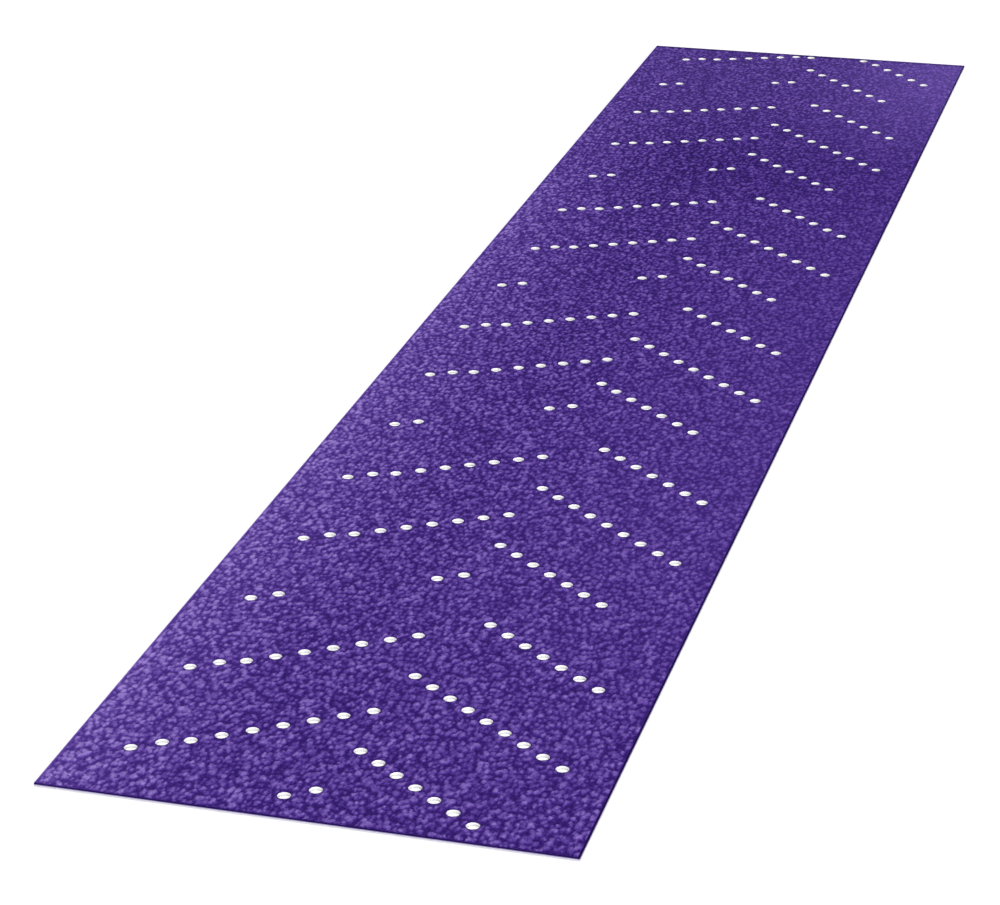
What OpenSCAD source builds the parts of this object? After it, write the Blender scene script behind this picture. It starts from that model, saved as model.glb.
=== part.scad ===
// Perforated sanding strip for a long hand file, lying with its grain face up.
// X runs across the strip, Y along it from the near end to the far end, and Z up.
// The origin is the middle of the underside.

/* [Strip] */
// Width of the strip
strip_w = 80; // [60:1:120]
// Length of the strip
strip_l = 400; // [200:5:600]

/* [Layers] */
// Thickness of the loop fabric that clings to the file's hooks
loop_t = 0.4; // [0.2:0.05:0.8]
// Thickness of the glue between the fabric and the paper
glue_t = 0.03; // [0.02:0.01:0.1]
// Thickness of the backing paper
paper_t = 0.15; // [0.1:0.01:0.4]
// Thickness of the make coat, the resin that the grain is set in
make_t = 0.03; // [0.02:0.01:0.1]
// Thickness of the layer of grain between the two resin coats
grain_t = 0.13; // [0.05:0.01:0.5]
// Thickness of the size coat, the resin that locks the grain
size_t = 0.04; // [0.02:0.01:0.1]
// Thickness of the supersize coat, the soap that keeps dust from clogging the grain
supersize_t = 0.02; // [0.01:0.01:0.05]

/* [Dust holes] */
// Diameter of a dust hole
hole_d = 2; // [1:0.1:2.6]
// Least width of strip left between a hole and a long edge
edge_land = 2; // [1:0.5:10]
// Least width of strip left between a hole and an end
end_land = 0.5; // [0.2:0.1:2]
// Hole places in each row of an arm
row_places = 9; // [5:1:9]
// Distance along the strip between the rows of an arm
row_pitch = 24.9; // [20:0.1:26]
// Holes punched at each end of the left arm's third row, whose middle stays blank
pair_holes = 2; // [1:1:2]
// Places left blank at the end of the right arm's first row and the start of its third
blank_places = 2; // [0:1:4]
// How far the middle row of each arm stands out towards its long edge
middle_row_out = 0.8; // [0:0.1:2]
// How far the middle row is out of step along the strip, ahead in the left arm and behind in the right
middle_row_along = 0.6; // [0:0.1:2]

/* [Chevrons] */
// Distance between chevrons along the middle of the strip
chevron_pitch = 73.5; // [70:0.1:100]
// Loss of that distance for each millimetre towards the right edge
pitch_drop = 0.06; // [0:0.01:0.08]
// Shift across the strip of every second chevron
odd_across = 0.8; // [0:0.1:2]
// Shift towards the near end of every second chevron
odd_back = 0.7; // [0:0.1:2]
// Shift to the left of the inner pair of holes in every second chevron
odd_pair_left = 1.5; // [0:0.1:2]
// Shift towards the near end of the inner pair of holes in the other chevrons
even_pair_back = 1.6; // [0:0.1:2]

/* [Left arm] */
// First hole of the left arm, to the left of the strip's middle
left_out = 30.7; // [28:0.1:36]
// First hole of the left arm, along from the near end
left_along = 18.1; // [5:0.1:30]
// Step across the strip between holes of the left arm
left_step = 3.85; // [3.6:0.05:3.9]
// Rise along the strip between holes of the left arm
left_rise = 2; // [1:0.1:3]
// How far the left arm steps back towards the near end after its first pair of holes
left_step_back = 1; // [0:0.1:2]

/* [Right arm] */
// First hole of the right arm, to the right of the strip's middle
right_out = 2; // [1.5:0.1:6]
// First hole of the right arm, along from the near end
right_along = 20.7; // [5:0.1:30]
// Step across the strip between holes of the right arm
right_step = 3.6; // [3:0.1:4]
// Fall along the strip between holes of the right arm
right_fall = 3.3; // [2:0.1:4]

/* [Hidden] */

// Undersides of the layers, stacked upwards from the loop fabric
glue_z = loop_t;
paper_z = glue_z + glue_t;
make_z = paper_z + paper_t;
grain_z = make_z + make_t;
size_z = grain_z + grain_t;
supersize_z = size_z + size_t;

// Each chevron has a left arm and a right arm of three rows
ARMS = ["left", "right"];
ROWS = [0, 1, 2];
FIRST_ROW = 0;
MIDDLE_ROW = 1;
LAST_ROW = 2;
first_chevron = -1;
last_chevron = ceil(strip_l / chevron_pitch);

// Circles are round, and the count of sides only sets how finely they are drawn
$fn = 32;

// Shift of the left arm's middle row, which the right arm's mirrors
function row_shift(row) = row == MIDDLE_ROW ? [-middle_row_out, middle_row_along] : [0, 0];

// Place of a hole before the pitch is drawn in towards the right edge
function left_place(row, i) =
    row_shift(row) + [
        -left_out + i * left_step,
        left_along + i * left_rise - (i < pair_holes ? 0 : left_step_back) + row * row_pitch
    ];
function right_place(row, i) =
    -row_shift(row) + [
        right_out + i * right_step,
        right_along - i * right_fall + row * row_pitch
    ];

// The pair at the right end of the left arm's last row
function inner_pair(arm, row, i) =
    arm == "left" && row == LAST_ROW && i >= row_places - pair_holes;

// Shift of a hole from its place, which differs between one chevron and the next
function shift(odd, inner) = [
    odd ? odd_across - (inner ? odd_pair_left : 0) : 0,
    odd ? -odd_back : (inner ? -even_pair_back : 0)
];

// Centre of a hole on the strip
function hole_centre(chevron, arm, row, i) =
    let (
        place = arm == "left" ? left_place(row, i) : right_place(row, i),
        p = place + shift(chevron % 2 != 0, inner_pair(arm, row, i)),
        y = p.y + chevron * chevron_pitch - strip_l / 2
    )
    [p.x, y * (1 - pitch_drop * p.x / chevron_pitch)];

// Whether a place in a row is punched
function punched(arm, row, i) =
    arm == "left"
        ? row < LAST_ROW || i < pair_holes || inner_pair(arm, row, i)
        : (row > FIRST_ROW || i < row_places - blank_places) && (row < LAST_ROW || i >= blank_places);

// Whether a hole falls on the strip
function on_strip(p) =
    abs(p.x) <= strip_w / 2 - edge_land - hole_d / 2 && abs(p.y) <= strip_l / 2;

// Centre of a hole, drawn in from the nearest end where that end would cut the hole
function drawn_in(p) =
    let (reach = strip_l / 2 - end_land - hole_d / 2)
    [p.x, max(-reach, min(reach, p.y))];

hole_centres = [
    for (chevron = [first_chevron : last_chevron])
    for (arm = ARMS)
    for (row = ROWS)
    for (i = [0 : row_places - 1])
    let (p = hole_centre(chevron, arm, row, i))
    if (punched(arm, row, i) && on_strip(p))
    drawn_in(p)
];

// Outline that every layer is cut to, after the layers are bonded
module perforated_outline() {
    difference() {
        square([strip_w, strip_l], center = true);
        for (p = hole_centres)
            translate(p)
                circle(d = hole_d);
    }
}

module layer(bottom, thickness) {
    translate([0, 0, bottom])
        linear_extrude(thickness)
            perforated_outline();
}

module loop_fabric() {
    color("whitesmoke")
        layer(0, loop_t);
}

module laminating_glue() {
    color("ivory")
        layer(glue_z, glue_t);
}

module backing_paper() {
    color("white")
        layer(paper_z, paper_t);
}

module make_coat() {
    color([0.2, 0.12, 0.42])
        layer(make_z, make_t);
}

module abrasive_grain() {
    color([0.3, 0.19, 0.56])
        layer(grain_z, grain_t);
}

module size_coat() {
    color([0.33, 0.22, 0.6])
        layer(size_z, size_t);
}

module supersize_coat() {
    color([0.4, 0.29, 0.67])
        layer(supersize_z, supersize_t);
}

loop_fabric();
laminating_glue();
backing_paper();
make_coat();
abrasive_grain();
size_coat();
supersize_coat();
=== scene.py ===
"""Looks of a perforated sanding strip: crushed purple grain on paper, with loop fabric below."""

import math

import bmesh
import bpy
import numpy as np
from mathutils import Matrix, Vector


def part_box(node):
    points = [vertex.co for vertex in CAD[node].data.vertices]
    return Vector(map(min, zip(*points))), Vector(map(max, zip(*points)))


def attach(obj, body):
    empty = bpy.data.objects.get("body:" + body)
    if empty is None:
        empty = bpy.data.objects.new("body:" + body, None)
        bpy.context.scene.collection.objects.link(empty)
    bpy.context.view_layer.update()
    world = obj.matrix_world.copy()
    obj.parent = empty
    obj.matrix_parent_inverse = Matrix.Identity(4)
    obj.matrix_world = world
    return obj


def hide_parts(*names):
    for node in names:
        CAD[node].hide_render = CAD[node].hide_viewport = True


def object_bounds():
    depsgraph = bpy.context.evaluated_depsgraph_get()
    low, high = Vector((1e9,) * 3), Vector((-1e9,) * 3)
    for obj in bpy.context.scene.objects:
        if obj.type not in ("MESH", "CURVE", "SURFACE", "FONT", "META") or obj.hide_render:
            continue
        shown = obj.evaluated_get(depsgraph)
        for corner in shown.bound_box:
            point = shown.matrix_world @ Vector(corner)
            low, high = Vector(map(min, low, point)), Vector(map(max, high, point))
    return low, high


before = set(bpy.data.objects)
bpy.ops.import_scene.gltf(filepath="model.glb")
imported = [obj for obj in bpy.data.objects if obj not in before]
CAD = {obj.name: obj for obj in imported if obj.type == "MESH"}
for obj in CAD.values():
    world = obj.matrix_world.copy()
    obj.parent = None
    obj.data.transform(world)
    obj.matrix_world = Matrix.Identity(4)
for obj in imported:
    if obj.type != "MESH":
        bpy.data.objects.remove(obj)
cad_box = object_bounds()

MM = 0.001
BODY = "root"

# Points of a CAD mesh this close together are one, and points this far in from the outline are a hole's
MERGE = 0.001 * MM
OUTLINE_SLACK = 0.01 * MM
RIM_DIGITS = 7

# Grain relief: clumps of grain as blunt pyramids, with widths and slopes in shares of the pitch and
# heights in shares of the relief's depth
GRAIN_SEED = 7
GRAIN_GRID = np.array([0.22, 0.3]) * MM
GRAIN_PITCH = np.array([0.8, 1.3]) * MM
GRAIN_JITTER = 0.42
GRAIN_BLUNT = (0.15, 0.4)
GRAIN_HEIGHT = (0.4, 1.0)
GRAIN_LEAN = 0.35
GRAIN_BASE = 0.08
FACETS = 5
FACET_SLOPE = (0.4, 1.0)
FACET_SPREAD = 0.4
CLUSTER_PITCH = 2.2 * MM
CLUSTER_LOW = 0.92
GRID_JITTER = 0.33
RIM_ROLL = 0.4 * MM
RIM_LEFT = 0.05
EDGE_RIDGE = 0.3 * MM
RIDGE_TOP = 0.9

# Loop fabric: a knitted ground with flat loops of yarn below it
KNIT_SEED = 11
KNIT_GRID = np.array([0.4, 0.4]) * MM
WALE_PITCH = 1.6 * MM
WALE_SHARE = 0.6
STITCH_PITCH = 1.3 * MM
STITCH_SHARE = 0.4
GROUND_GAP = 0.1 * MM
KNIT_DEPTH = 0.06 * MM
CUT_PRESS = 0.8 * MM
CUT_LEFT = 0.1
LOOP_PITCH = 2.0 * MM
LOOP_STAGGER = 0.5
LOOP_SPREAD = 0.2
LOOP_ACROSS = 0.55 * MM
LOOP_ALONG = 0.75 * MM
LOOP_SIZE = (0.8, 1.1)
LOOP_TURN = 0.5
YARN_R = 0.05 * MM
YARN_SIDES = 3
LOOP_RINGS = 8
LOOP_START = math.radians(-70)
LOOP_END = math.radians(250)

# Flat map for baked textures: share of the map kept for the faces that don't show, and how far a face's
# normal points away from the side that shows before it counts as one of them
UV_MARGIN = 0.01
UV_AWAY = 0.5

# Grain colour: a mix of height, the grain's own tone and noise, which runs over a ramp of colours; the
# height makes the gaps dark and the tips pale, partly as the resin's and soap's own colour and partly as
# painted shade in the gaps and painted highlight on the tips
GAP_MIX = 0.233
TIP_MIX = 0.773
TONE_SHARE = 0.1
FINE_SIZE = 0.3 * MM
FINE_STRETCH = (1.0, 0.74, 1.0)
FINE_SHARE = 0.25
PATCH_SIZE = 6.0 * MM
PATCH_SHARE = 0.01
UPRIGHT_SPAN = (0.2, 0.5)
GRAIN_COLOURS = [
    (0.14, (0.011, 0.0022, 0.073)),
    (0.31, (0.0335, 0.0105, 0.148)),
    (0.48, (0.073, 0.0305, 0.253)),
    (0.66, (0.138, 0.0725, 0.370)),
    (1.00, (0.360, 0.245, 0.680)),
]

# Evening of the grain's mix, which lowers its contrast: a share that grows towards the right edge and is
# less at both ends, and the mix that it evens to
FILL_SHARE = 0.34
FILL_LEFT = -10 * MM
FILL_NEAR = 140 * MM
FILL_FAR_SHARE = 0.3
FILL_MIX = 0.53

# Painted light and shade on the grain: a painted sheen along the left edge that fades towards the far
# end, painted shade that grows from the near end to a band of painted shade before the far end that is
# strongest in the middle, and a pale painted sheen over the far end, strongest in its right corner
EDGE_SHEEN = 0.12
EDGE_SHEEN_WIDTH = 30 * MM
EDGE_NARROW_SHEEN = 0.06
EDGE_NARROW_SHEEN_WIDTH = 6 * MM
EDGE_SHEEN_FADE = (60 * MM, 220 * MM)
FALLOFF_SHADE = -0.062
FALLOFF_SHADE_SPAN = (-100 * MM, 110 * MM)
BAND_SHADE = -0.044
BAND_AT = 105 * MM
BAND_HALF = 45 * MM
BAND_MIDDLE = 10 * MM
BAND_SIDE_SHARE = 0.2
FAR_SHEEN_SHARE = (0.05, 0.2)
FAR_END_START = 100 * MM
FAR_SHEEN_COLOUR = (0.36, 0.22, 0.85, 1)

# Resin crushed dark by the knife: for each edge of the strip, the distances from it between which the
# colour comes back, and the share of the colour that is left at the edge
KNIFE_NEAR = (0.1 * MM, 0.6 * MM, 0.4)
KNIFE_FAR = (0.5 * MM, 1.2 * MM, 0.5)
KNIFE_LEFT = (0.3 * MM, 0.5 * MM, 0.8)
KNIFE_RIGHT = (0.15 * MM, 0.4 * MM, 0.0)
KNIFE_RAGGED = 1.5 * MM

# Resin stain on the cut edge of the paper and the fabric
STAIN_DEPTH = (0.05 * MM, 0.2 * MM)
STAIN_FOOT = 0.1 * MM
STAIN_COLOUR = (0.20, 0.16, 0.33, 1)

# Colours of the other layers, as ramps over their noise
NOISE_SPAN = (0.3, 0.7)
RESIN_COLOURS = [(0.3, (0.020, 0.008, 0.085)), (0.7, (0.055, 0.024, 0.180))]
PAPER_COLOURS = [(0.3, (0.86, 0.84, 0.87)), (0.6, (0.93, 0.92, 0.93))]
GLUE_COLOURS = [(0.1, (0.92, 0.91, 0.93)), (0.6, (0.84, 0.83, 0.86))]
KNIT_COLOURS = [(0.35, (0.84, 0.83, 0.86)), (0.6, (0.93, 0.92, 0.94))]
LOOP_COLOURS = [(0.35, (0.86, 0.85, 0.88)), (0.6, (0.94, 0.93, 0.95))]
FIBRE_SHARE = 0.6
CLOUD_SHARE = 0.4

# Sizes of the layers' noise, and the span of roughness that it runs over
GRIT_SIZE = 0.12 * MM
GRAIN_ROUGHNESS = (0.5, 0.75)
RESIN_CLOUD = 0.8 * MM
RESIN_GRIT = 0.2 * MM
RESIN_ROUGHNESS = (0.35, 0.5)
PAPER_FIBRE = 0.15 * MM
PAPER_STRETCH = (1.0, 0.15, 1.0)
PAPER_CLOUD = 4.0 * MM
PAPER_ROUGHNESS = (0.75, 0.9)
BUBBLE_PITCH = 0.5 * MM
BUBBLE_SPAN = (0.0, 0.7)
GLUE_ROUGHNESS = (0.25, 0.45)
FILAMENT = 0.06 * MM
FILAMENT_STRETCH = (1.0, 0.3, 1.0)
STITCH_CLOUD = 1.2 * MM
YARN_ROUGHNESS = (0.8, 0.95)

# Camera at the photograph's viewing angle, for an image 1000 by 905
CAMERA_AT = (0.1245, -0.5374, 0.2102)
CAMERA_TURN = (66.72, 0.60, 15.84)
CAMERA_LENS = 107.0
CAMERA_SHIFT_X = 0.0163
CAMERA_CLIP = 0.01

# Studio: the lamps are squares, each with its place, its width and its power
FLOOR_HALF = 3.0
FLOOR_DROP = 0.01 * MM
FLOOR_GREY = 0.6
FLOOR_GLOW = 0.55
SKY = 0.3
SKY_SEEN = 1.0
LAMPS = {
    "key": ((1.03, -3.38, 1.88), 1.6, 130.0),
    "side": ((2.63, -0.70, 1.27), 1.2, 31.0),
    "rim": ((-1.60, 1.35, 1.60), 1.0, 13.0),
}


def new_object(name, mesh):
    piece = bpy.data.objects.new(name, mesh)
    bpy.context.scene.collection.objects.link(piece)
    return piece


def mesh_from(name, points, triangles):
    """A mesh from arrays of points and of triangles."""
    mesh = bpy.data.meshes.new(name)
    mesh.vertices.add(len(points))
    mesh.vertices.foreach_set("co", points.astype(np.float32).ravel())
    mesh.loops.add(triangles.size)
    mesh.loops.foreach_set("vertex_index", triangles.astype(np.int32).ravel())
    mesh.polygons.add(len(triangles))
    mesh.polygons.foreach_set("loop_start", np.arange(0, triangles.size, 3, dtype=np.int32))
    mesh.update(calc_edges=True)
    return mesh


def mesh_points(mesh):
    points = np.empty(len(mesh.vertices) * 3, np.float32)
    mesh.vertices.foreach_get("co", points)
    return points.reshape(-1, 3).astype(float)


def smooth(share):
    """Smooth step of a share from 0 to 1."""
    return share * share * (3 - 2 * share)


def outline_grid(node, pitch):
    """A grid of points that covers a CAD node's outline and a little more."""
    low, high = (np.array(corner)[:2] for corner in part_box(node))
    low = low - 2 * pitch
    high = high + 2 * pitch
    cols, rows = np.rint((high - low) / pitch).astype(int) + 1
    return np.meshgrid(np.linspace(low[0], high[0], cols), np.linspace(low[1], high[1], rows))


def edge_distance(node, x, y):
    """Distance of each grid point from the nearest edge of a CAD node, below 0 outside it."""
    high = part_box(node)[1]
    return np.minimum(high.x - np.abs(x), high.y - np.abs(y))


def grid_block(name, x, y, z, flat_z):
    """A closed block between a gridded face and a flat one, which may be below or above it."""
    rows, cols = x.shape
    count = rows * cols
    index = np.arange(count).reshape(rows, cols)
    a, b = index[:-1, :-1].ravel(), index[:-1, 1:].ravel()
    c, d = index[1:, 1:].ravel(), index[1:, :-1].ravel()
    other = ((a // cols + a % cols) % 2).astype(bool)[:, None]
    first = np.where(other, np.stack([a, b, d], 1), np.stack([a, b, c], 1))
    second = np.where(other, np.stack([b, c, d], 1), np.stack([a, c, d], 1))
    ring = np.concatenate([index[0, :-1], index[:-1, -1], index[-1, :0:-1], index[:0:-1, 0]])
    foot = count + np.arange(len(ring))
    middle = np.full(len(ring), count + len(ring))
    ring_next, foot_next = np.roll(ring, -1), np.roll(foot, -1)
    points = np.stack([x, y, z], -1).reshape(-1, 3)
    feet = points[ring].copy()
    feet[:, 2] = flat_z
    centre = np.array([[0, 0, flat_z]])
    triangles = np.concatenate([
        first,
        second,
        np.stack([ring, foot, foot_next], 1),
        np.stack([ring, foot_next, ring_next], 1),
        np.stack([foot_next, foot, middle], 1),
    ])
    if flat_z > z.max():
        triangles = triangles[:, ::-1]
    return mesh_from(name, np.concatenate([points, feet, centre]), triangles)


def cut_to_node(piece, node, low_z, high_z):
    """Trims a piece to the outline and holes of a CAD node, between two heights."""
    cutter = CAD[node].data.copy()
    low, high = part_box(node)
    middle_z = (low.z + high.z) / 2
    work = bmesh.new()
    work.from_mesh(cutter)
    bmesh.ops.remove_doubles(work, verts=work.verts, dist=MERGE)
    for vert in work.verts:
        vert.co.z = low_z if vert.co.z < middle_z else high_z
    work.to_mesh(cutter)
    work.free()
    tool = new_object("cutter", cutter)
    trim = piece.modifiers.new("trim", "BOOLEAN")
    trim.solver = "MANIFOLD"
    trim.operation = "INTERSECT"
    trim.object = tool
    graph = bpy.context.evaluated_depsgraph_get()
    done = bpy.data.meshes.new_from_object(piece.evaluated_get(graph))
    piece.modifiers.clear()
    old, piece.data = piece.data, done
    bpy.data.meshes.remove(old)
    bpy.data.objects.remove(tool)
    bpy.data.meshes.remove(cutter)


def hole_rims(node):
    """The points of a CAD node's hole rims, seen from above."""
    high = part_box(node)[1]
    points = mesh_points(CAD[node].data)
    inside_x = np.abs(points[:, 0]) < high.x - OUTLINE_SLACK
    inside_y = np.abs(points[:, 1]) < high.y - OUTLINE_SLACK
    return np.unique(np.round(points[inside_x & inside_y, :2], RIM_DIGITS), axis=0)


def rim_distance(x, y, rims, reach):
    """Distance of each grid point from the nearest hole's rim, up to about reach."""
    distance = np.full(x.shape, reach)
    pitch_x, pitch_y = x[0, 1] - x[0, 0], y[1, 0] - y[0, 0]
    col = np.rint((rims[:, 0] - x[0, 0]) / pitch_x).astype(int)
    row = np.rint((rims[:, 1] - y[0, 0]) / pitch_y).astype(int)
    cells = math.ceil(reach / min(pitch_x, pitch_y))
    for down in range(-cells, cells + 1):
        for over in range(-cells, cells + 1):
            r = np.clip(row + down, 0, x.shape[0] - 1)
            c = np.clip(col + over, 0, x.shape[1] - 1)
            away = np.hypot(x[r, c] - rims[:, 0], y[r, c] - rims[:, 1])
            np.minimum.at(distance, (r, c), away)
    return distance


def flat_map(piece, up):
    """A flat map of the face that shows, with the strip's near half beside its far half."""
    mesh = piece.data
    corners = np.empty(len(mesh.loops), np.int32)
    mesh.loops.foreach_get("vertex_index", corners)
    totals = np.empty(len(mesh.polygons), np.int32)
    mesh.polygons.foreach_get("loop_total", totals)
    normals = np.empty(len(mesh.polygons) * 3, np.float32)
    mesh.polygons.foreach_get("normal", normals)
    centres = np.empty(len(mesh.polygons) * 3, np.float32)
    mesh.polygons.foreach_get("center", centres)
    low, high = (np.array(corner) for corner in cad_box)
    place = (mesh_points(mesh)[corners] - low) / (high - low)
    far = np.repeat(centres.reshape(-1, 3)[:, 1] > 0, totals)
    hidden = np.repeat(normals.reshape(-1, 3)[:, 2] * up < -UV_AWAY, totals)
    u = (place[:, 0] + far) / 2
    v = np.clip(2 * place[:, 1] - far, 0, 1)
    shown = np.stack([u, UV_MARGIN + (1 - UV_MARGIN) * v], -1)
    tucked = np.stack([u, v], -1) * UV_MARGIN / 2
    layer = mesh.uv_layers.new(name="OFBake")
    layer.uv.foreach_set("vector", np.where(hidden[:, None], tucked, shown).astype(np.float32).ravel())


class GrainField:
    """Clumps of grain, each a small blunt pyramid, whose upper hull is the face."""

    def __init__(self, low, high, depth):
        rng = np.random.default_rng(GRAIN_SEED)
        self.low = np.array(low) - 2 * GRAIN_PITCH
        self.count = np.ceil((np.array(high) - self.low) / GRAIN_PITCH).astype(int) + 3
        shape = tuple(self.count)
        self.centre = 0.5 + rng.uniform(-GRAIN_JITTER, GRAIN_JITTER, shape + (2,))
        self.turn = rng.uniform(0, math.tau, shape)
        self.blunt = rng.uniform(*GRAIN_BLUNT, shape)
        self.slope = rng.uniform(*FACET_SLOPE, shape + (FACETS,)) * GRAIN_PITCH.mean() / depth
        self.spread = rng.uniform(-FACET_SPREAD, FACET_SPREAD, shape + (FACETS,))
        self.top = rng.uniform(*GRAIN_HEIGHT, shape)
        self.lean = rng.uniform(-GRAIN_LEAN, GRAIN_LEAN, shape + (2,))
        self.tone = rng.random(shape)
        coarse = np.ceil(self.count * GRAIN_PITCH / CLUSTER_PITCH).astype(int) + 3
        self.cluster = rng.random(tuple(coarse))

    def clusters(self, x, y):
        """Slow rise and fall of the grain's height, from 0 to 1."""
        u = (x - self.low[0]) / CLUSTER_PITCH
        v = (y - self.low[1]) / CLUSTER_PITCH
        i, j = u.astype(int), v.astype(int)
        fu, fv = smooth(u - i), smooth(v - j)
        c = self.cluster
        near = c[i, j] * (1 - fu) + c[i + 1, j] * fu
        far = c[i, j + 1] * (1 - fu) + c[i + 1, j + 1] * fu
        return near * (1 - fv) + far * fv

    def at(self, x, y):
        """Height from 0 to 1 and the grain's own tone, at points of the strip."""
        u = (x - self.low[0]) / GRAIN_PITCH[0]
        v = (y - self.low[1]) / GRAIN_PITCH[1]
        ci, cj = u.astype(int), v.astype(int)
        height = np.full(x.shape, -1.0)
        tone = np.zeros(x.shape)
        for di in (-1, 0, 1):
            for dj in (-1, 0, 1):
                i, j = ci + di, cj + dj
                dx = u - i - self.centre[i, j, 0]
                dy = v - j - self.centre[i, j, 1]
                drop = np.zeros(x.shape)
                for k in range(FACETS):
                    angle = self.turn[i, j] + (k + self.spread[i, j, k]) * math.tau / FACETS
                    reach = np.cos(angle) * dx + np.sin(angle) * dy - self.blunt[i, j]
                    drop = np.maximum(drop, reach * self.slope[i, j, k])
                lean = self.lean[i, j, 0] * dx + self.lean[i, j, 1] * dy
                here = self.top[i, j] + lean - drop
                higher = here > height
                height = np.where(higher, here, height)
                tone = np.where(higher, self.tone[i, j], tone)
        rise = CLUSTER_LOW + (1 - CLUSTER_LOW) * self.clusters(x, y)
        return np.clip(height, 0, 1) * rise, tone


def make_grain_face():
    """The grain with its resin and soap coats, as one relief."""
    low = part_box("abrasive_grain")[0]
    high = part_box("supersize_coat")[1]
    depth = high.z - low.z
    x, y = outline_grid("abrasive_grain", GRAIN_GRID)
    roll = rim_distance(x, y, hole_rims("abrasive_grain"), RIM_ROLL) / RIM_ROLL
    rng = np.random.default_rng(GRAIN_SEED + 1)
    x = x + GRID_JITTER * GRAIN_GRID[0] * rng.uniform(-1, 1, x.shape)
    y = y + GRID_JITTER * GRAIN_GRID[1] * rng.uniform(-1, 1, y.shape)
    field = GrainField((x.min(), y.min()), (x.max(), y.max()), depth)
    height = field.at(x, y)[0] * (RIM_LEFT + (1 - RIM_LEFT) * smooth(roll))
    ridge = np.clip(1 - edge_distance("abrasive_grain", x, y) / EDGE_RIDGE, 0, RIDGE_TOP)
    height = np.maximum(height, ridge)
    z = low.z + depth * (GRAIN_BASE + (1 - GRAIN_BASE) * height)
    piece = new_object("grain_face", grid_block("grain_face", x, y, z, low.z - depth))
    cut_to_node(piece, "abrasive_grain", low.z, high.z + depth)
    points = mesh_points(piece.data)
    tone = field.at(points[:, 0], points[:, 1])[1]
    piece.data.attributes.new("grain_tone", "FLOAT", "POINT")
    piece.data.attributes["grain_tone"].data.foreach_set("value", tone.astype(np.float32))
    flat_map(piece, up=1)
    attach(piece, BODY)
    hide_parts("abrasive_grain", "size_coat", "supersize_coat")
    return piece


def make_knit():
    """The loop fabric's ground, with wales of small V-shaped stitches on its underside."""
    low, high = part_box("loop_fabric")
    x, y = outline_grid("loop_fabric", KNIT_GRID)
    rim = rim_distance(x, y, hole_rims("loop_fabric"), CUT_PRESS)
    inside = np.minimum(rim, edge_distance("loop_fabric", x, y))
    across = x / WALE_PITCH
    off_middle = np.abs(across - np.rint(across)) * 2
    wale = 0.5 + 0.5 * np.cos(math.tau * across)
    stitch = 0.5 + 0.5 * np.cos(math.tau * (y / STITCH_PITCH + 0.5 * off_middle))
    height = GROUND_GAP + KNIT_DEPTH * (1 - WALE_SHARE * wale - STITCH_SHARE * stitch)
    z = low.z + height * smooth(np.clip(inside / CUT_PRESS, CUT_LEFT, 1))
    thickness = high.z - low.z
    piece = new_object("loop_ground", grid_block("loop_ground", x, y, z, high.z + thickness))
    cut_to_node(piece, "loop_fabric", low.z - thickness, high.z)
    flat_map(piece, up=-1)
    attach(piece, BODY)
    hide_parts("loop_fabric")
    return piece


def loop_places(rims):
    """Centres of the loops in staggered rows, clear of the outline and the holes."""
    low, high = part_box("loop_fabric")
    clear = LOOP_ALONG + 2 * YARN_R
    rng = np.random.default_rng(KNIT_SEED)
    cols = math.floor((high.x - low.x) / LOOP_PITCH)
    rows = math.floor((high.y - low.y) / LOOP_PITCH)
    col, row = np.meshgrid(np.arange(cols), np.arange(rows))
    spread = rng.uniform(-LOOP_SPREAD, LOOP_SPREAD, col.shape + (2,))
    stagger = LOOP_STAGGER / 2 + LOOP_STAGGER * (row % 2)
    x = low.x + (col + stagger + spread[..., 0]) * LOOP_PITCH
    y = low.y + (row + 0.5 + spread[..., 1]) * LOOP_PITCH
    places = np.stack([x.ravel(), y.ravel()], -1)
    inside = (np.abs(places[:, 0]) < high.x - clear) & (np.abs(places[:, 1]) < high.y - clear)
    places = places[inside]
    free = np.full(len(places), True)
    for rim in rims:
        free &= np.hypot(*(places - rim).T) > clear
    return places[free]


def make_loops():
    """The loops of yarn that cling to hooks, as open rings that dip from the ground and return."""
    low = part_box("loop_fabric")[0]
    places = loop_places(hole_rims("loop_fabric"))
    rng = np.random.default_rng(KNIT_SEED + 1)
    turn = rng.uniform(-LOOP_TURN, LOOP_TURN, (len(places), 1))
    turn = turn + math.pi * rng.integers(0, 2, (len(places), 1))
    size = rng.uniform(*LOOP_SIZE, (len(places), 1))
    angle = np.linspace(LOOP_START, LOOP_END, LOOP_RINGS)[None]
    flat_x = size * LOOP_ACROSS * np.cos(angle)
    flat_y = size * LOOP_ALONG * np.sin(angle)
    cos, sin = np.cos(turn), np.sin(turn)
    x = places[:, :1] + cos * flat_x - sin * flat_y
    y = places[:, 1:] + sin * flat_x + cos * flat_y
    dip = smooth((np.sin(angle) - np.sin(LOOP_START)) / (1 - np.sin(LOOP_START)))
    z = low.z + YARN_R + (GROUND_GAP + YARN_R) * (1 - dip) + 0 * x
    path = np.stack([x, y, z], -1)
    along = np.gradient(path, axis=1)
    along /= np.linalg.norm(along, axis=-1, keepdims=True)
    side = np.cross(along, (0, 0, 1))
    side /= np.linalg.norm(side, axis=-1, keepdims=True)
    above = np.cross(side, along)
    points = []
    for k in range(YARN_SIDES):
        round_yarn = math.tau * k / YARN_SIDES - math.pi / 2
        points.append(path + YARN_R * (math.cos(round_yarn) * side + math.sin(round_yarn) * above))
    points = np.stack(points, 2)
    index = np.arange(points[..., 0].size).reshape(points.shape[:3])
    a, b = index[:, :-1], index[:, 1:]
    a_next, b_next = np.roll(a, -1, 2), np.roll(b, -1, 2)
    walls = [np.stack([a, a_next, b_next], -1), np.stack([a, b_next, b], -1)]
    ends = [index[:, 0, ::-1], index[:, -1]]
    triangles = np.concatenate([face.reshape(-1, 3) for face in walls + ends])
    piece = new_object("loop_pile", mesh_from("loop_pile", points.reshape(-1, 3), triangles))
    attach(piece, BODY)
    return piece


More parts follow.
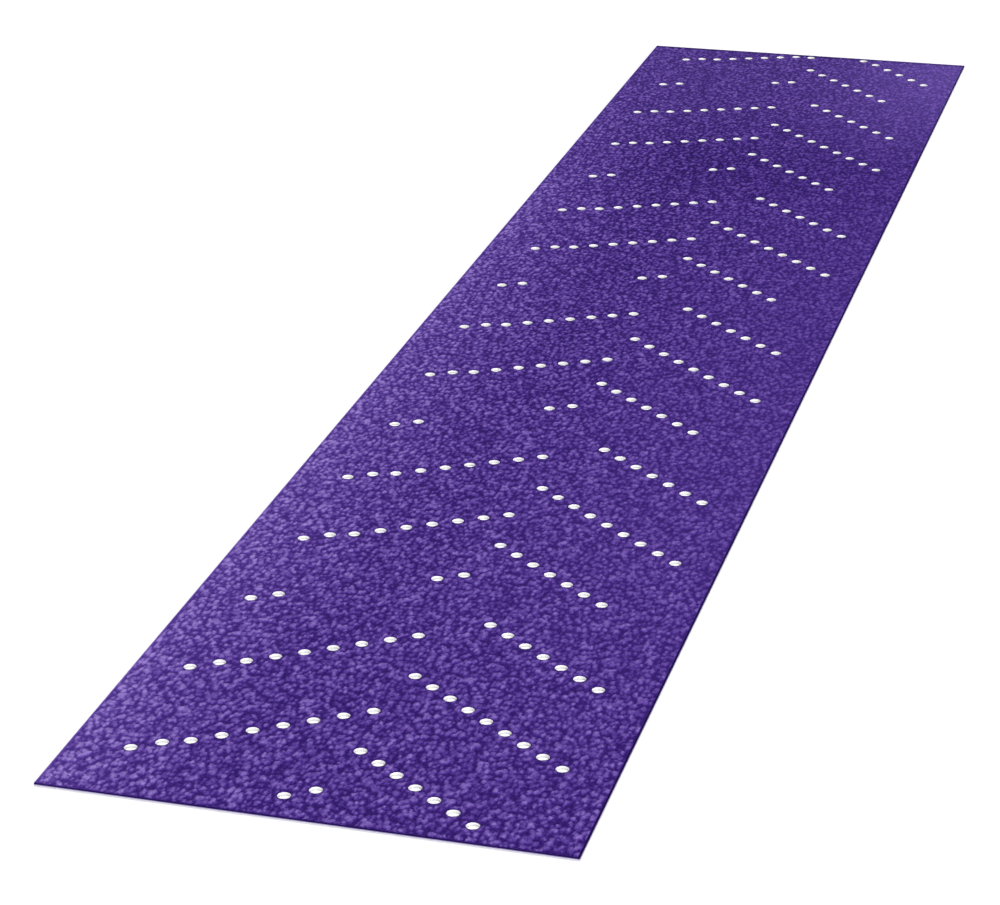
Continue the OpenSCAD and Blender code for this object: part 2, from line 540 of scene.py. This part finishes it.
class Nodes:
    """A new material's node tree, with short calls to add and link nodes."""

    def __init__(self, name):
        self.material = bpy.data.materials.new(name)
        self.material.use_nodes = True
        self.tree = self.material.node_tree
        self.shader = self.tree.nodes["Principled BSDF"]
        self.output = self.tree.nodes["Material Output"]

    def add(self, kind, inputs=None, **settings):
        made = self.tree.nodes.new(kind)
        for key, value in settings.items():
            setattr(made, key, value)
        for key, value in (inputs or {}).items():
            self.put(made.inputs[key], value)
        return made

    def put(self, socket, value):
        if isinstance(value, bpy.types.NodeSocket):
            self.tree.links.new(value, socket)
        else:
            socket.default_value = value

    def surface(self, **values):
        for name, value in values.items():
            self.put(self.shader.inputs[name.replace("_", " ")], value)

    def math(self, operation, a, b=0.0):
        return self.add("ShaderNodeMath", {0: a, 1: b}, operation=operation).outputs[0]

    def total(self, operation, values):
        """Sum or product of several values."""
        result = values[0]
        for value in values[1:]:
            result = self.math(operation, result, value)
        return result

    def span(self, value, start, end, low=0.0, high=1.0, interpolation="LINEAR"):
        """Carries a value from the span start to end over to the span low to high."""
        made = self.add(
            "ShaderNodeMapRange",
            {"Value": value, "From Min": start, "From Max": end, "To Min": low, "To Max": high},
            interpolation_type=interpolation,
        )
        return made.outputs["Result"]

    def ease(self, value, start, end, low, high):
        """The same, with a soft start and end."""
        return self.span(value, start, end, low, high, "SMOOTHSTEP")

    def ramp(self, factor, stops):
        made = self.add("ShaderNodeValToRGB", {"Fac": factor})
        elements = made.color_ramp.elements
        for stop in stops[2:]:
            elements.new(0.5)
        for element, (place, colour) in zip(elements, stops):
            element.position = place
            element.color = (*colour, 1)
        return made.outputs["Color"]

    def blend(self, factor, colour, other):
        made = self.add("ShaderNodeMix", {0: factor, 6: colour, 7: other}, data_type="RGBA")
        return made.outputs[2]

    def noise(self, size, vector, detail=2.0, roughness=0.5):
        made = self.add(
            "ShaderNodeTexNoise",
            {"Vector": vector, "Scale": 1 / size, "Detail": detail, "Roughness": roughness},
        )
        return made.outputs["Fac"]

    def stretched(self, vector, scale):
        made = self.add("ShaderNodeMapping", {"Vector": vector, "Scale": scale})
        return made.outputs["Vector"]

    def bump(self, height, distance, strength):
        made = self.add("ShaderNodeBump", {"Height": height, "Distance": distance, "Strength": strength})
        return made.outputs["Normal"]

    def place(self):
        """Place on the part, and its three coordinates."""
        place = self.add("ShaderNodeTexCoord").outputs["Object"]
        axes = self.add("ShaderNodeSeparateXYZ", {0: place}).outputs
        return place, axes["X"], axes["Y"], axes["Z"]

    def fibrous(self, fibres, clouds):
        """A mix of fine fibres and broader clouds."""
        return self.math(
            "ADD",
            self.math("MULTIPLY", fibres, FIBRE_SHARE),
            self.math("MULTIPLY", clouds, CLOUD_SHARE),
        )

    def stained(self, colour, axes):
        """A colour stained by resin at the strip's outline, less and less from the grain down."""
        x, y, z = axes
        high = cad_box[1]
        full, none = STAIN_DEPTH
        side = self.span(self.math("ABSOLUTE", x), high.x - none, high.x - full)
        end = self.span(self.math("ABSOLUTE", y), high.y - none, high.y - full)
        down = self.span(z, STAIN_FOOT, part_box("make_coat")[0].z)
        stain = self.math("MULTIPLY", self.math("MAXIMUM", side, end), down)
        return self.blend(stain, colour, STAIN_COLOUR)


def evened_mix(n, mix, low, high, x, y):
    """The grain's mix, evened towards one value by a share that grows towards the right edge and is less
    at both ends.
    """
    share = n.total("MULTIPLY", [
        n.span(x, FILL_LEFT, high.x, 0.0, FILL_SHARE),
        n.ease(y, low.y, low.y + FILL_NEAR, 0.0, 1.0),
        n.ease(y, FAR_END_START, high.y, 1.0, FILL_FAR_SHARE),
    ])
    return n.math("ADD", mix, n.math("MULTIPLY", share, n.math("SUBTRACT", FILL_MIX, mix)))


def painted_sheen_and_shade(n, low, high, x, y):
    """Painted light and shade in the grain's mix: sheen at the left edge, shade towards the far end and
    in a band.
    """
    # Painted sheen along the left edge, a broad part and a narrow one, fading towards the far end
    edge = n.math(
        "ADD",
        n.ease(x, low.x, low.x + EDGE_SHEEN_WIDTH, EDGE_SHEEN, 0.0),
        n.ease(x, low.x, low.x + EDGE_NARROW_SHEEN_WIDTH, EDGE_NARROW_SHEEN, 0.0),
    )
    edge = n.math("MULTIPLY", edge, n.ease(y, *EDGE_SHEEN_FADE, 1.0, 0.0))
    # Painted shade, darker from the near end towards the far end
    falloff_shade = n.span(y, *FALLOFF_SHADE_SPAN, 0.0, FALLOFF_SHADE)
    off_band = n.math("ABSOLUTE", n.math("SUBTRACT", y, BAND_AT))
    # Painted shade in a band before the far end, strongest in the middle
    band_shade = n.math(
        "MULTIPLY",
        n.ease(off_band, 0.0, BAND_HALF, BAND_SHADE, 0.0),
        n.ease(n.math("ABSOLUTE", x), BAND_MIDDLE, high.x, 1.0, BAND_SIDE_SHARE),
    )
    return edge, falloff_shade, band_shade


def knife_left(n, value, edge, line):
    """Share of the colour that the knife leaves along an edge at the low end of a coordinate."""
    start, end, left = line
    return n.span(value, edge + start, edge + end, left, 1.0)


def knife_right(n, value, edge, line):
    """Share of the colour that the knife leaves along an edge at the high end of a coordinate."""
    start, end, left = line
    return n.span(value, edge - end, edge - start, 1.0, left)


def grain_material():
    """Dyed resin over crushed grain: dark in the gaps, partly resin and partly painted shade, and pale
    on the tips, partly soap and partly painted highlight.
    """
    n = Nodes("purple_grain")
    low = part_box("abrasive_grain")[0]
    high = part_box("supersize_coat")[1]
    place, x, y, z = n.place()
    # Height makes the gaps dark and the tips pale: partly own colour, partly painted shade and painted
    # highlight
    height = n.span(z, low.z, high.z, GAP_MIX, TIP_MIX)
    tone = n.add("ShaderNodeAttribute", attribute_name="grain_tone").outputs["Fac"]
    fine = n.noise(FINE_SIZE, n.stretched(place, FINE_STRETCH))
    fine = n.span(fine, 0.0, 1.0, -FINE_SHARE, FINE_SHARE)
    patches = n.span(n.noise(PATCH_SIZE, place), *NOISE_SPAN, -PATCH_SHARE, PATCH_SHARE)
    own_tone = n.math("MULTIPLY", tone, TONE_SHARE)
    mix = n.total("ADD", [height, own_tone, fine, patches])
    mix = evened_mix(n, mix, low, high, x, y)
    # Adds painted sheen and painted shade to the mix
    mix = n.total("ADD", [mix, *painted_sheen_and_shade(n, low, high, x, y)])
    normal = n.add("ShaderNodeNewGeometry").outputs["True Normal"]
    upright = n.add("ShaderNodeSeparateXYZ", {0: normal}).outputs["Z"]
    ragged_y = n.math("ADD", y, n.math("MULTIPLY", fine, KNIFE_RAGGED))
    knife = n.total("MULTIPLY", [
        knife_left(n, ragged_y, low.y, KNIFE_NEAR),
        knife_right(n, y, high.y, KNIFE_FAR),
        knife_left(n, x, low.x, KNIFE_LEFT),
        knife_right(n, x, high.x, KNIFE_RIGHT),
    ])
    mix = n.total("MULTIPLY", [mix, n.span(upright, *UPRIGHT_SPAN), knife])
    # Painted sheen: a pale colour over the far end, strongest in the right corner
    far_sheen_x = n.ease(x, 0.0, high.x, *FAR_SHEEN_SHARE)
    far_sheen_y = n.ease(y, FAR_END_START, high.y, 0.0, 1.0)
    far_sheen = n.total("MULTIPLY", [far_sheen_x, far_sheen_y, knife])
    grit = n.noise(GRIT_SIZE, place)
    n.surface(
        Base_Color=n.blend(far_sheen, n.ramp(mix, GRAIN_COLOURS), FAR_SHEEN_COLOUR),
        Roughness=n.span(tone, 0.0, 1.0, *GRAIN_ROUGHNESS),
        Specular_IOR_Level=0.01,
        Normal=n.bump(grit, distance=0.02 * MM, strength=0.5),
    )
    return n.material


def resin_material():
    """Cured make coat: dark and uneven, seen at the cut edges only."""
    n = Nodes("make_resin")
    place = n.place()[0]
    cloud = n.noise(RESIN_CLOUD, place, detail=3.0)
    n.surface(
        Base_Color=n.ramp(cloud, RESIN_COLOURS),
        Roughness=n.span(cloud, *NOISE_SPAN, *RESIN_ROUGHNESS),
        Specular_IOR_Level=0.3,
        Normal=n.bump(n.noise(RESIN_GRIT, place), distance=0.01 * MM, strength=0.4),
    )
    return n.material


def paper_material():
    """Dense paper: short fibres that lie along the strip, and faint clouds."""
    n = Nodes("backing_paper")
    place, *axes = n.place()
    fibres = n.noise(PAPER_FIBRE, n.stretched(place, PAPER_STRETCH), detail=4.0, roughness=0.6)
    clouds = n.noise(PAPER_CLOUD, place)
    colour = n.ramp(n.fibrous(fibres, clouds), PAPER_COLOURS)
    n.surface(
        Base_Color=n.stained(colour, axes),
        Roughness=n.span(fibres, *NOISE_SPAN, *PAPER_ROUGHNESS),
        Specular_IOR_Level=0.2,
        Normal=n.bump(fibres, distance=0.02 * MM, strength=0.5),
    )
    return n.material


def glue_material():
    """Hot-melt film: cloudy white and glossy, with small bubbles."""
    n = Nodes("hot_melt")
    place = n.place()[0]
    cells = n.add("ShaderNodeTexVoronoi", {"Vector": place, "Scale": 1 / BUBBLE_PITCH})
    bubbles = cells.outputs["Distance"]
    n.surface(
        Base_Color=n.ramp(bubbles, GLUE_COLOURS),
        Roughness=n.span(bubbles, *BUBBLE_SPAN, *GLUE_ROUGHNESS),
        Normal=n.bump(bubbles, distance=0.01 * MM, strength=0.3),
    )
    return n.material


def yarn_material(name, colours):
    """Textured yarn: fine filaments, soft sheen and a little unevenness from stitch to stitch."""
    n = Nodes(name)
    place, *axes = n.place()
    filaments = n.noise(FILAMENT, n.stretched(place, FILAMENT_STRETCH), detail=4.0, roughness=0.65)
    stitches = n.noise(STITCH_CLOUD, place)
    colour = n.ramp(n.fibrous(filaments, stitches), colours)
    n.surface(
        Base_Color=n.stained(colour, axes),
        Roughness=n.span(filaments, *NOISE_SPAN, *YARN_ROUGHNESS),
        Specular_IOR_Level=0.2,
        Sheen_Weight=0.25,
        Normal=n.bump(filaments, distance=0.03 * MM, strength=0.7),
    )
    return n.material


def set_material(piece, material):
    piece.data.materials.clear()
    piece.data.materials.append(material)


def white_when_seen(tree, rays):
    """One for rays that show the background: from the camera, or by way of gloss or glass."""
    seen = rays["Is Camera Ray"]
    for name in ("Is Glossy Ray", "Is Transmission Ray"):
        either = tree.nodes.new("ShaderNodeMath")
        either.operation = "MAXIMUM"
        tree.links.new(seen, either.inputs[0])
        tree.links.new(rays[name], either.inputs[1])
        seen = either.outputs[0]
    return seen


def make_floor():
    h = FLOOR_HALF
    corners = np.array([(-h, -h, 0), (h, -h, 0), (h, h, 0), (-h, h, 0)])
    floor = new_object("floor", mesh_from("floor", corners, np.array([(0, 1, 2), (0, 2, 3)])))
    floor.location.z = -FLOOR_DROP
    n = Nodes("floor_white")
    n.surface(Base_Color=(FLOOR_GREY, FLOOR_GREY, FLOOR_GREY, 1), Roughness=0.9, Specular_IOR_Level=0.0)
    seen = white_when_seen(n.tree, n.add("ShaderNodeLightPath").outputs)
    strength = n.math("MULTIPLY", seen, FLOOR_GLOW)
    glow = n.add("ShaderNodeEmission", {"Color": (1, 1, 1, 1), "Strength": strength})
    both = n.add("ShaderNodeAddShader", {0: n.shader.outputs[0], 1: glow.outputs[0]})
    n.put(n.output.inputs["Surface"], both.outputs[0])
    set_material(floor, n.material)


def make_sky():
    world = bpy.data.worlds.new("studio")
    bpy.context.scene.world = world
    world.use_nodes = True
    tree = world.node_tree
    back = tree.nodes["Background"]
    seen = white_when_seen(tree, tree.nodes.new("ShaderNodeLightPath").outputs)
    level = tree.nodes.new("ShaderNodeMapRange")
    level.inputs["To Min"].default_value = SKY
    level.inputs["To Max"].default_value = SKY_SEEN
    tree.links.new(seen, level.inputs["Value"])
    tree.links.new(level.outputs["Result"], back.inputs["Strength"])
    back.inputs["Color"].default_value = (1, 1, 1, 1)


def make_lamps():
    for name, (at, width, power) in LAMPS.items():
        light = bpy.data.lights.new(name, "AREA")
        light.shape = "SQUARE"
        light.size = width
        light.energy = power
        lamp = bpy.data.objects.new(name, light)
        lamp.location = at
        lamp.rotation_euler = (-Vector(at)).to_track_quat("-Z", "Y").to_euler()
        bpy.context.scene.collection.objects.link(lamp)


def make_camera():
    camera = bpy.data.cameras.new("camera")
    camera.sensor_fit = "HORIZONTAL"
    camera.lens = CAMERA_LENS
    camera.shift_x = CAMERA_SHIFT_X
    camera.clip_start = CAMERA_CLIP
    viewer = bpy.data.objects.new("camera", camera)
    viewer.location = CAMERA_AT
    viewer.rotation_euler = [math.radians(turn) for turn in CAMERA_TURN]
    bpy.context.scene.collection.objects.link(viewer)
    bpy.context.scene.camera = viewer


grain_face = make_grain_face()
loop_ground = make_knit()
loop_pile = make_loops()

set_material(grain_face, grain_material())
set_material(CAD["make_coat"], resin_material())
set_material(CAD["backing_paper"], paper_material())
set_material(CAD["laminating_glue"], glue_material())
set_material(loop_ground, yarn_material("knit_ground", KNIT_COLOURS))
set_material(loop_pile, yarn_material("loop_yarn", LOOP_COLOURS))

make_floor()
make_sky()
make_lamps()
make_camera()
bpy.context.scene.view_settings.view_transform = "Standard"
